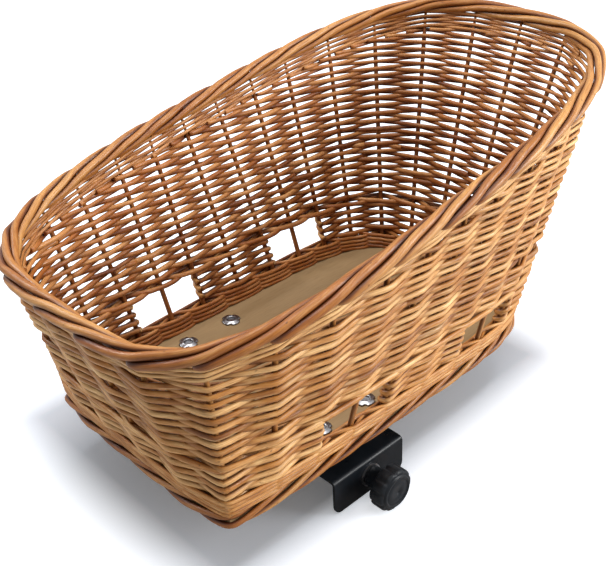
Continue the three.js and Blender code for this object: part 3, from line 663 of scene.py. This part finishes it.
def wale(name, seed, middles, lift, diameter, sizes, tones):
    """Rounds of three rods, each passing outside two stakes and inside the next."""
    bundle = RodBundle(sizes.rod_sides, seed)
    steps, depth = sizes.steps_per_bay, sizes.weave_depth / MM
    stake = np.arange(STAKE_COUNT * steps) / steps
    for middle in middles:
        for k in range(3):
            swing = np.cos(2 * np.pi * (stake - k - 0.5) / 3)
            out = np.clip(WALE_SWING * swing + WALE_SHIFT, -1, 1) * depth
            turn = np.mod((stake - k + 0.9) / 3, 1)
            fall = (turn - WALE_CLIMB) / (1 - WALE_CLIMB)
            rise = np.where(turn < WALE_CLIMB, 2 * turn / WALE_CLIMB - 1, 1 - 2 * fall)
            z = middle + lift * rise + WALE_WOBBLE * bundle.wander(len(stake), steps * 0.8)
            points, outward = on_wall(stake, z, out, sizes.bend_sharpness)
            half = diameter / MM / 2 * (1 + WALE_UNEVEN * bundle.wander(len(stake), steps * 4))
            tone = bundle.rng.uniform(*tones)
            bundle.add(points, outward, half, half * 1.05, tone, closed=True, sway=out / depth)
    bundle.make(f"{name}_rods", "woven_willow", name)


def weave_swing(stake):
    """From 1 outside a stake to -1 inside the next, nearly straight between them."""
    turn = np.pi * stake
    return (np.cos(turn) + np.cos(3 * turn) / 9 + np.cos(5 * turn) / 30) / (1 + 1 / 9 + 1 / 30)


def row_of_weave(bundle, start, end, z_of, phase, sizes, tones, thin, swing=1.0):
    """One weaving rod from stake to stake, in front of one and behind the next."""
    steps = sizes.steps_per_bay
    count = max(8, int(round((end - start) * steps)) + 1)
    stake = np.linspace(start, end, count)
    depth = sizes.weave_depth / MM * swing
    out = depth * weave_swing(stake + phase)
    ease = np.minimum(1, np.minimum(stake - start, end - stake) / TUCK_BAYS)
    out = out * ease - depth * TUCK_DEPTH * (1 - ease)
    z = z_of(stake) + ROW_WOBBLE * bundle.wander(count, steps * 0.9)
    out = out + SWING_WOBBLE * bundle.wander(count, steps * 0.7)
    points, outward = on_wall(stake, z, out, sizes.bend_sharpness)
    butt = bundle.rng.uniform(0.96, 1.16)
    taper = np.linspace(butt, butt - 0.18, count) * thin
    if bundle.rng.random() < 0.5:
        taper = taper[::-1]
    uneven = 1 + ROD_UNEVEN * bundle.wander(count, steps * 2)
    deep = sizes.weaver_depth / MM / 2 * taper * uneven
    tall = sizes.weaver_height / MM / 2 * taper * uneven
    tone = bundle.rng.uniform(*tones)
    bundle.add(points, outward, deep, tall, tone, sway=np.clip(out / depth, -1, 1))


def rods_in_row(rng, start, end):
    """The places between which each rod of one round runs, each a metre or so long."""
    cuts = [start]
    while end - cuts[-1] > 2 * FIELD_ROD_BAYS[0]:
        cuts.append(cuts[-1] + rng.integers(*FIELD_ROD_BAYS))
    return list(zip(cuts, [*(cut + ROD_OVERLAP for cut in cuts[1:]), end]))


class OBJECT_OT_basket_stakes(bpy.types.Operator):
    """Stand the upright stakes, bare in the windows."""

    bl_idname = "object.basket_stakes"
    bl_label = "Stakes"

    def execute(self, context):
        sizes = context.scene.basket_weave
        bundle = RodBundle(sizes.rod_sides, 11)
        for k in range(STAKE_COUNT):
            top = float(rim_above(share_of(k))[1]) - 4
            z = np.linspace(BOARD_TOP_Z - 1.0, top, 28)
            points, outward = on_wall(float(k), z, 0.0, 0.0)
            half = sizes.stake_diameter / MM / 2 * np.linspace(1.0, 0.88, len(z))
            half = half * np.interp(z, [top - 26, top - 16], [1.0, 0.62])
            bundle.add(points, outward, half, half, bundle.rng.uniform(0.3, 0.75), sway=0.0)
        bundle.make(
            "stakes", "stake_willow", "bare_stake_left_low", "bare_stake_left_high",
            "bare_stake_right_low", "bare_stake_right_high",
        )
        return {"FINISHED"}


def round_stake(edge, forward, row, z, rise, depth):
    """A rod's points, directions and sways as it turns back round an edge stake to the next row."""
    centre, normal = (values[0] for values in on_wall(np.array([float(edge)]), z, 0.0, 0.0))
    away = np.array([normal[1], -normal[0], 0.0]) * (1 if forward else -1)
    sign = math.cos(math.pi * (edge + row))
    path, side = [], []
    for part in np.linspace(0, 1, 8)[1:-1]:
        c, s = math.cos(math.pi * part), math.sin(math.pi * part)
        point = centre + normal * (sign * depth * c) + away * (2.4 * s)
        point[2] = z + rise * part
        path.append(point)
        side.append(normal * sign * c + away * s)
    return path, side, [1.0] * len(path)


def window_band(name, seed, start, end, sizes):
    """A stretch of weave whose rods turn back round its edge stakes."""
    bundle = RodBundle(sizes.rod_sides, seed)
    steps, pitch, depth = sizes.steps_per_bay, sizes.row_pitch / MM, sizes.weave_depth / MM
    first = WINDOW_SILL_Z + pitch * 0.55
    rows = math.ceil((WINDOW_HEAD_Z - first) / pitch)
    count = (end - start) * steps + 1
    stretches = []
    for row in range(rows):
        forward = row % 2 == 0
        stake = np.linspace(start, end, count) if forward else np.linspace(end, start, count)
        out = depth * weave_swing(stake + row)
        z = first + pitch * row + BAND_WOBBLE * bundle.wander(count, steps)
        stretches.append((*on_wall(stake, z, out, sizes.bend_sharpness), out / depth))
        if row < rows - 1:
            rise = first + pitch * (row + 1) - z[-1]
            stretches.append(round_stake(end if forward else start, forward, row, z[-1], rise, depth))
    path, side, sway = (np.concatenate(part) for part in zip(*stretches))
    rod_length = BAND_ROD_BAYS * steps
    for begin in range(0, len(path) - 1, rod_length):
        stop = min(len(path), begin + rod_length + 3)
        if len(path) - stop < rod_length / 3:
            stop = len(path)
        half = np.linspace(*BAND_FULLNESS, stop - begin)
        half = half * (1 + ROD_UNEVEN * bundle.wander(stop - begin, steps * 2))
        deep, tall = sizes.weaver_depth / MM / 2 * half, sizes.weaver_height / MM / 2 * half
        tone = bundle.rng.uniform(0.2, 0.9)
        bundle.add(path[begin:stop], side[begin:stop], deep, tall, tone, sway=sway[begin:stop])
        if stop == len(path):
            break
    bundle.make(f"{name}_band_rods", "woven_willow", f"window_band_{name}")


class OBJECT_OT_basket_low_wall(bpy.types.Operator):
    """Weave the wale under the windows, the stretches between them and the wale over them."""

    bl_idname = "object.basket_low_wall"
    bl_label = "Low wall"

    def execute(self, context):
        sizes, borders = context.scene.basket_weave, context.scene.basket_borders
        rounds = borders.base_wale_rounds
        height = (WINDOW_SILL_Z - BOARD_TOP_Z - 0.3) / rounds
        middles = [BOARD_TOP_Z + 0.4 + height * (turn + 0.5) for turn in range(rounds)]
        wale("base_wale", 21, middles, height / 2 - 0.6, borders.base_wale_diameter, sizes, (0.0, 0.6))
        for seed, (name, (start, end)) in enumerate(WINDOW_BANDS.items(), 41):
            window_band(name, seed, start, end, sizes)
        middles = [(WINDOW_HEAD_Z + FIELD_Z) / 2]
        wale("window_wale", 31, middles, 1.9, borders.window_wale_diameter, sizes, (0.2, 0.8))
        return {"FINISHED"}


class OBJECT_OT_basket_field(bpy.types.Operator):
    """Weave the main field, whose rows end one by one under the sloping rim."""

    bl_idname = "object.basket_field"
    bl_label = "Main field"

    def execute(self, context):
        sizes = context.scene.basket_weave
        rng = np.random.default_rng(51)
        lower, upper = RodBundle(sizes.rod_sides, rng), RodBundle(sizes.rod_sides, rng)
        pitch, collar_pitch = sizes.row_pitch / MM, sizes.collar_pitch / MM
        probe = np.linspace(0, STAKE_COUNT, STAKE_COUNT * PROBES_PER_BAY + 1)
        ceiling = rim_above(share_of(probe))[1] - (sizes.collar_rows * collar_pitch + FIELD_DROP)
        levels = [FIELD_Z + pitch * 0.6]
        while levels[-1] < ceiling.max():
            levels.append(levels[-1] + pitch * np.interp(levels[-1], *ROW_SPACING))
        for row, z in enumerate(levels):
            under = probe[ceiling > z]
            if len(under) < PROBES_PER_BAY:
                continue
            bundle = lower if z < UPPER_FIELD_Z else upper
            whole = ceiling.min() > z
            start = float(rng.integers(0, STAKE_COUNT)) if whole else under.min()
            end = start + STAKE_COUNT if whole else under.max()
            for a, b in rods_in_row(rng, start, end):
                tones = (0.25, 1.0) if rng.random() < 0.75 else (0.0, 0.25)
                fullness = np.interp(z, *ROD_FULLNESS)
                row_of_weave(bundle, a, b, lambda s, z=z: z, row, sizes, tones, fullness)
        thin = sizes.collar_rod_diameter / sizes.weaver_height
        for row in range(sizes.collar_rows):
            drop = COLLAR_DROP + collar_pitch * (sizes.collar_rows - row - 0.5)
            start = float(rng.integers(0, STAKE_COUNT))
            for a, b in rods_in_row(rng, start, start + STAKE_COUNT):
                row_of_weave(
                    upper, a, b, lambda s, d=drop: rim_above(share_of(s))[1] - d,
                    row + len(levels), sizes, (0.7, 1.0), thin, COLLAR_SWING,
                )
        lower.make("lower_field_rods", "woven_willow", "woven_wall")
        upper.make("upper_field_rods", "woven_willow", "woven_wall")
        return {"FINISHED"}


def roll_point(plan, normal, centre, radius, height, angle):
    """A point on a roll with its centre so far out and so high, and the way that it faces.

    Angle 0 is outwards and 90 degrees is up; radius is the roll's outwards and height upwards.
    """
    c, s = math.cos(math.radians(angle)), math.sin(math.radians(angle))
    out, z = centre
    return [*(plan + normal * (out + radius * c)), z + height * s], [*(normal * c), s]


def rim_roll(stake, angle, radius):
    """A point on the roll round the rim, and the way that it faces."""
    before = np.floor(stake)
    start, end, smooth = (rim_above(share_of(place))[0] for place in (before, before + 1, stake))
    straight = start + (end - start) * (stake - before)
    z = rim_above(share_of(stake))[1]
    plan = smooth + (straight - smooth) * RIM_ROLL_SHARPNESS
    return roll_point(plan, outward_at(stake, z), (RIM_ROLL_OUT, z), radius, radius, angle)


def foot_roll(stake, angle, radius):
    """A point on the roll round the board's edge, and the way that it faces."""
    z = (BOARD_UNDERSIDE_Z + BOARD_TOP_Z) / 2
    plan, centre = wall_at(stake, z, FOOT_ROLL_SHARPNESS), (FOOT_ROLL_OUT, FOOT_ROLL_Z)
    return roll_point(plan, outward_at(stake, z), centre, radius, radius + FOOT_ROLL_TALLER, angle)


def rolled_border(name, seed, sides, roll, turns, diameter, variation, thin_end, tones, samples):
    """A rod from each stake, its corners eased, along turns of (stakes on, degrees, radius)."""
    bundle = RodBundle(sides, seed)
    for k in range(STAKE_COUNT):
        size = diameter / MM / 2 * bundle.rng.uniform(*variation)
        start = k + bundle.rng.uniform(-0.05, 0.05)
        places = [roll(start + ahead, angle, radius) for ahead, angle, radius in turns]
        points, facing = (np.array(part) for part in zip(*places))
        outward = between(np.linspace(0, len(turns) - 1, samples), np.arange(len(turns)), facing)
        half = np.linspace(size, size * thin_end, samples)
        tone = bundle.rng.uniform(*tones)
        bundle.add(resampled(points, samples), outward, half, half, tone)
    bundle.make(f"{name}_rods", "border_willow", name)


class OBJECT_OT_basket_borders(bpy.types.Operator):
    """Roll the thick rods round the rim and round the edge of the board."""

    bl_idname = "object.basket_borders"
    bl_label = "Borders"

    def execute(self, context):
        borders = context.scene.basket_borders
        sides = borders.border_rod_sides
        radius = borders.rim_roll_radius / MM
        turns = [(0.05, -88, 1.5), (0.08, -68, radius * 0.8)]
        for bay in np.linspace(0, 3.85, 24):
            step = bay + 0.05 * math.sin(2 * math.pi * bay)
            turns.append((-0.02 - bay, -44 + 74 * step, radius * (1.14 - 0.08 * bay)))
        turns.append((-4.0, 256, radius * 0.6))
        rolled_border(
            "rim_border", 61, sides, rim_roll, turns, borders.rim_rod_diameter, (0.92, 1.06), 0.84,
            (0.2, 0.8), 90,
        )
        radius = borders.foot_roll_radius / MM
        turns = [(-2.7 * t, -118 + 240 * t, radius) for t in np.linspace(0, 1, 14)]
        turns = [(0.25, -150, radius * 0.7), *turns, (-2.9, 135, radius * 0.6)]
        rolled_border(
            "foot_border", 71, sides, foot_roll, turns, borders.foot_rod_diameter, (0.95, 1.05), 0.9,
            (0.25, 0.8), 56,
        )
        return {"FINISHED"}


# Board and fittings


def mesh_from(data, name):
    """A mesh from a bmesh, which is done with."""
    mesh = bpy.data.meshes.new(name)
    data.normal_update()
    data.to_mesh(mesh)
    data.free()
    return mesh


def dress(node, material):
    """Give a CAD piece that stays in view its material."""
    node.data.materials.clear()
    node.data.materials.append(material)


def lathe(profile, steps, drawn_in, place):
    """A closed (radius, height) profile turned round Z, then placed.

    The function drawn_in gives the share by which a radius is less at an angle.
    """
    data = bmesh.new()
    rings = []
    for step in range(steps):
        angle = 2 * math.pi * step / steps
        reaches = [radius * (1 - drawn_in(radius, angle)) for radius, _ in profile]
        rings.append([
            data.verts.new(place @ Vector((reach * math.cos(angle), reach * math.sin(angle), height)))
            for reach, (_, height) in zip(reaches, profile)
        ])
    for a, b in zip(rings, rings[1:] + rings[:1]):
        for k in range(len(profile)):
            m = (k + 1) % len(profile)
            data.faces.new((a[k], b[k], b[m], a[m]))
    for face in data.faces:
        face.smooth = True
    return data


def tee_nut_notches(radius, angle):
    """The four notches of a tee nut's flange."""
    inner, depth, plain = 0.0082, 0.20, 0.55
    if radius < inner:
        return 0.0
    return depth * max(0.0, math.cos(4 * (angle - math.pi / 4)) - plain) / (1 - plain)


def knob_flutes(radius, angle):
    """The ten flutes of a knob's grip."""
    inner, full_beyond, depth = 0.0180, 0.0024, 0.062
    if radius < inner:
        return 0.0
    reach = min(1.0, (radius - inner) / full_beyond)
    return depth * max(0.0, -math.cos(10 * angle)) ** 1.5 * reach


class OBJECT_OT_basket_board(bpy.types.Operator):
    """Lay the plywood board and press in its tee nuts."""

    bl_idname = "object.basket_board"
    bl_label = "Board and tee nuts"

    def execute(self, context):
        dress(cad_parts["base_board"], material_of("birch_plywood", plywood))
        zinc = material_of("zinc_plate", zinc_plate)
        bore, barrel, barrel_length = 0.0043, 0.0052, 0.008
        profile = [
            (bore, -barrel_length), (barrel, -barrel_length), (barrel, 0.0), (0.0094, 0.0),
            (0.0104, 0.0005), (0.0105, 0.0012), (0.0098, 0.0017), (0.0072, 0.0018), (0.0064, 0.0024),
            (0.0056, 0.0028), (0.0048, 0.0026), (bore, 0.0019),
        ]
        for side in ("left", "right"):
            for end in ("low", "high"):
                node = f"tee_nut_{side}_{end}"
                name = f"{node}_plate"
                low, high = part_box(node)
                seat = Vector(((low.x + high.x) / 2, (low.y + high.y) / 2, BOARD_TOP_Z * MM + 0.0002))
                data = lathe(profile, 48, tee_nut_notches, Matrix.Translation(seat))
                shown_piece(name, mesh_from(data, name), zinc, "basket", "zinc", node)
        return {"FINISHED"}


def bracket_mesh(name, sign, low, high):
    """A bent steel angle: the leg under the board and the rounded flange outside."""
    steel, bend, corner = 0.003, 0.005, 0.009
    outer, inner, top = abs(high.y) if sign > 0 else abs(low.y), 0.084, high.z
    angles = [math.pi / 2 * (1 - k / 6) for k in range(7)]
    bottom_rows = [corner * share for share in (1.0, 0.62, 0.32, 0.1, 0.0)]

    def skin(depth):
        """The section's line at a depth in from its outside."""
        r = bend - depth
        arc = [(outer - bend + r * math.cos(a), top - bend + r * math.sin(a)) for a in angles]
        return [(inner, top - depth), *arc, *((outer - depth, z) for z in bottom_rows)]

    def cut(z):
        """How far the flange's rounded corners are in from its ends, at a height."""
        return corner - math.sqrt(max(0.0, corner ** 2 - (corner - z) ** 2)) if z < corner else 0.0

    profile = skin(steel) + skin(0.0)[::-1]
    centre, half = (low.x + high.x) / 2, (high.x - low.x) / 2
    data = bmesh.new()
    rings = [
        [data.verts.new((centre + end * (half - cut(z)), sign * y, z)) for y, z in profile]
        for end in (-1, 1)
    ]
    n = len(profile)
    for k in range(n):
        m = (k + 1) % n
        data.faces.new((rings[0][k], rings[0][m], rings[1][m], rings[1][k]))
    for ring in rings:
        for k in range(n // 2 - 1):
            data.faces.new((ring[k], ring[k + 1], ring[n - 2 - k], ring[n - 1 - k]))
    bmesh.ops.recalc_face_normals(data, faces=data.faces)
    for face in data.faces:
        face.smooth = True
    return mesh_from(data, name)


def knob_mesh(name, sign, low, high):
    """A fluted grip on a narrower hub, hollow at its face."""
    bore, hub, grip = 0.0043, 0.0105, 0.0217
    near, depth = low.y if sign > 0 else high.y, high.y - low.y
    profile = [
        (bore, 0.0), (hub - 0.0008, 0.0), (hub, 0.0008), (hub, depth * 0.30),
        (hub + 0.0008, depth * 0.40), (0.0150, depth * 0.45), (grip - 0.0022, depth * 0.475),
        (grip - 0.0006, depth * 0.50), (grip, depth * 0.545), (grip, depth * 0.85),
        (grip - 0.0006, depth * 0.90), (grip - 0.0020, depth * 0.935), (grip - 0.0034, depth * 0.945),
        (0.0173, depth * 0.935), (0.0170, depth * 0.985), (0.0163, depth), (0.0148, depth),
        (0.0142, depth * 0.975), (0.0134, depth * 0.97), (0.0128, depth * 0.985),
        (0.0004, depth * 0.99), (0.0004, depth * 0.75), (bore, depth * 0.72),
    ]
    place = Matrix.Translation(((low.x + high.x) / 2, near, (low.z + high.z) / 2))
    turned = Matrix.Rotation(-sign * math.pi / 2, 4, "X")
    return mesh_from(lathe(profile, 160, knob_flutes, place @ turned), name)


class OBJECT_OT_basket_clamps(bpy.types.Operator):
    """Bend the clamps' brackets, mould their knobs and finish the other fittings."""

    bl_idname = "object.basket_clamps"
    bl_label = "Clamps"

    def execute(self, context):
        steel = material_of("powder_coated_steel", painted_steel)
        plastic = material_of("satin_knob_plastic", knob_plastic)
        zinc = material_of("zinc_plate", zinc_plate)
        sides = {"left": 1, "right": -1}
        for side, sign in sides.items():
            name, node = f"bracket_{side}", f"clamp_bracket_{side}"
            mesh = bracket_mesh(name, sign, *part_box(node))
            piece = shown_piece(name, mesh, steel, "basket", "black_steel", node)
            rounding = piece.modifiers.new("edge_rounding", "BEVEL")
            rounding.width = 0.0005
            rounding.segments = 2
            rounding.limit_method = "ANGLE"
            rounding.angle_limit = math.radians(35)
            rounding.harden_normals = True
        for side, sign in sides.items():
            name, node = f"knob_{side}", f"clamp_knob_{side}"
            mesh = knob_mesh(name, sign, *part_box(node))
            shown_piece(name, mesh, plastic, name, "black_plastic", node)
        for name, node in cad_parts.items():
            if name.startswith(("spacer_", "clamp_jaw_")):
                dress(node, steel)
            elif name.startswith(("bracket_bolt_", "clamp_screw_", "clamp_washer_", "screw_retainer_")):
                dress(node, zinc)
        return {"FINISHED"}


# Stage


def floor_paper(least_glow):
    """Pale paper that glows for the camera, more so with the distance from the basket, so that the weaker
    glow near it is a painted shadow.
    """
    material = bpy.data.materials.new("floor_paper")
    tree = empty_tree(material)
    beside = object_place(tree)
    for operation, *others in (
        ("SUBTRACT", SHADOW_CENTRE), ("ABSOLUTE",), ("SUBTRACT", SHADOW_HALF_SIZE),
        ("MAXIMUM", (0.0, 0.0, 0.0)), ("LENGTH",),
    ):
        inputs = dict(enumerate([beside, *others]))
        step = add_node(tree, "ShaderNodeVectorMath", inputs, operation=operation)
        beside = step.outputs["Value" if operation == "LENGTH" else "Vector"]
    # painted shadow: the least glow next to the basket, the full glow beyond the fade
    strength = add_node(tree, "ShaderNodeMapRange", {
        "Value": beside, "From Max": SHADOW_FADE, "To Min": least_glow, "To Max": FULL_GLOW,
    })
    plain = add_node(tree, "ShaderNodeBsdfDiffuse", {"Color": (0.85, 0.85, 0.86)})
    bright = add_node(tree, "ShaderNodeBsdfDiffuse", {"Color": (0.86, 0.91, 1.0)})
    glow = add_node(tree, "ShaderNodeEmission", {"Color": (0.94, 0.97, 1.0), "Strength": strength})
    seen = add_node(tree, "ShaderNodeAddShader", {0: bright, 1: glow})
    camera = add_node(tree, "ShaderNodeLightPath", {}).outputs["Is Camera Ray"]
    paper = add_node(tree, "ShaderNodeMixShader", {0: camera, 1: plain, 2: seen})
    add_node(tree, "ShaderNodeOutputMaterial", {"Surface": paper})
    return material


def light_world(scene, strength):
    """Even light from all round; white to the camera, straight or in a shiny or clear surface."""
    scene.world = scene.world or bpy.data.worlds.new("soft_room")
    tree = empty_tree(scene.world)
    rays = add_node(tree, "ShaderNodeLightPath", {}).outputs
    shiny = maths(tree, "MAXIMUM", rays["Is Glossy Ray"], rays["Is Transmission Ray"])
    seen = maths(tree, "MAXIMUM", rays["Is Camera Ray"], shiny)
    room = add_node(tree, "ShaderNodeBackground", {"Color": WHITE, "Strength": strength})
    white = add_node(tree, "ShaderNodeBackground", {"Color": WHITE, "Strength": 1.0})
    mix = add_node(tree, "ShaderNodeMixShader", {0: seen, 1: room, 2: white})
    add_node(tree, "ShaderNodeOutputWorld", {"Surface": mix})


def add_lamp(name, power, floor, place, target, width, lights_floor):
    """A soft square lamp turned to a point, which may leave out the floor."""
    light = bpy.data.lights.new(name, "AREA")
    light.size = width
    light.energy = power
    lamp = add_object(name, light)
    lamp.location = place
    lamp.rotation_euler = (Vector(target) - Vector(place)).to_track_quat("-Z", "Y").to_euler()
    if not lights_floor:
        left_out = bpy.data.collections.new(f"{name}_leaves_out")
        left_out.objects.link(floor)
        left_out.collection_objects[0].light_linking.link_state = "EXCLUDE"
        lamp.light_linking.receiver_collection = left_out


def add_camera(scene, distance):
    """The photograph's camera, at a distance from the middle of the basket."""
    data = bpy.data.cameras.new("photo_camera")
    data.lens = CAMERA_FOCAL * data.sensor_width / PHOTO_WIDTH
    data.shift_x = CAMERA_SHIFT_X / PHOTO_WIDTH
    data.shift_y = CAMERA_SHIFT_Y / PHOTO_WIDTH
    data.clip_start = 0.05
    scene.camera = add_object("photo_camera", data)
    scene.camera.matrix_world = (
        Matrix.Translation(CAMERA_TARGET)
        @ Matrix.Rotation(-CAMERA_AZIMUTH, 4, "Z")
        @ Matrix.Rotation(math.pi / 2 - CAMERA_ELEVATION, 4, "X")
        @ Matrix.Rotation(CAMERA_ROLL, 4, "Z")
        @ Matrix.Translation((0, 0, distance))
    )


class OBJECT_OT_basket_stage(bpy.types.Operator):
    """Set the pale floor, the soft lights and the camera."""

    bl_idname = "object.basket_stage"
    bl_label = "Stage"

    def execute(self, context):
        scene = context.scene
        settings = scene.basket_stage
        data = bmesh.new()
        bmesh.ops.create_grid(data, x_segments=8, y_segments=8, size=FLOOR_HALF_SIZE)
        floor = add_object("floor", mesh_from(data, "floor"))
        floor.location.z = FLOOR_Z
        floor.data.materials.append(floor_paper(settings.floor_glow))
        light_world(scene, settings.sky_strength)
        for name, details in LAMPS.items():
            add_lamp(f"{name}_light", getattr(settings, f"{name}_power"), floor, *details)
        add_camera(scene, settings.camera_distance)
        scene.view_settings.view_transform = "Standard"
        return {"FINISHED"}


class VIEW3D_PT_basket(bpy.types.Panel):
    """Sizes, colours and build steps of the basket."""

    bl_idname = "VIEW3D_PT_basket"
    bl_label = "Wicker Carrier Basket"
    bl_space_type = "VIEW_3D"
    bl_region_type = "UI"
    bl_category = "Basket"

    def draw(self, context):
        for group in SETTINGS:
            box = self.layout.box()
            settings = getattr(context.scene, group)
            for name in settings.__annotations__:
                box.prop(settings, name)
        for operator in BUILD_ORDER:
            self.layout.operator(operator.bl_idname)


BUILD_ORDER = (
    OBJECT_OT_basket_stakes,
    OBJECT_OT_basket_low_wall,
    OBJECT_OT_basket_field,
    OBJECT_OT_basket_borders,
    OBJECT_OT_basket_board,
    OBJECT_OT_basket_clamps,
    OBJECT_OT_basket_stage,
)
SETTINGS = {
    "basket_weave": BasketWeaveSizes,
    "basket_borders": BasketBorderSizes,
    "basket_colours": BasketColours,
    "basket_stage": BasketStageSettings,
}
CLASSES = (*SETTINGS.values(), *BUILD_ORDER, VIEW3D_PT_basket)


def register():
    for item in CLASSES:
        bpy.utils.register_class(item)
    for name, group in SETTINGS.items():
        setattr(bpy.types.Scene, name, PointerProperty(type=group))


def unregister():
    for name in SETTINGS:
        delattr(bpy.types.Scene, name)
    for item in reversed(CLASSES):
        bpy.utils.unregister_class(item)


def main():
    register()
    bpy.ops.object.basket_stakes()
    bpy.ops.object.basket_low_wall()
    bpy.ops.object.basket_field()
    bpy.ops.object.basket_borders()
    bpy.ops.object.basket_board()
    bpy.ops.object.basket_clamps()
    bpy.ops.object.basket_stage()
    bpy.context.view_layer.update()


if __name__ == "__main__":
    main()
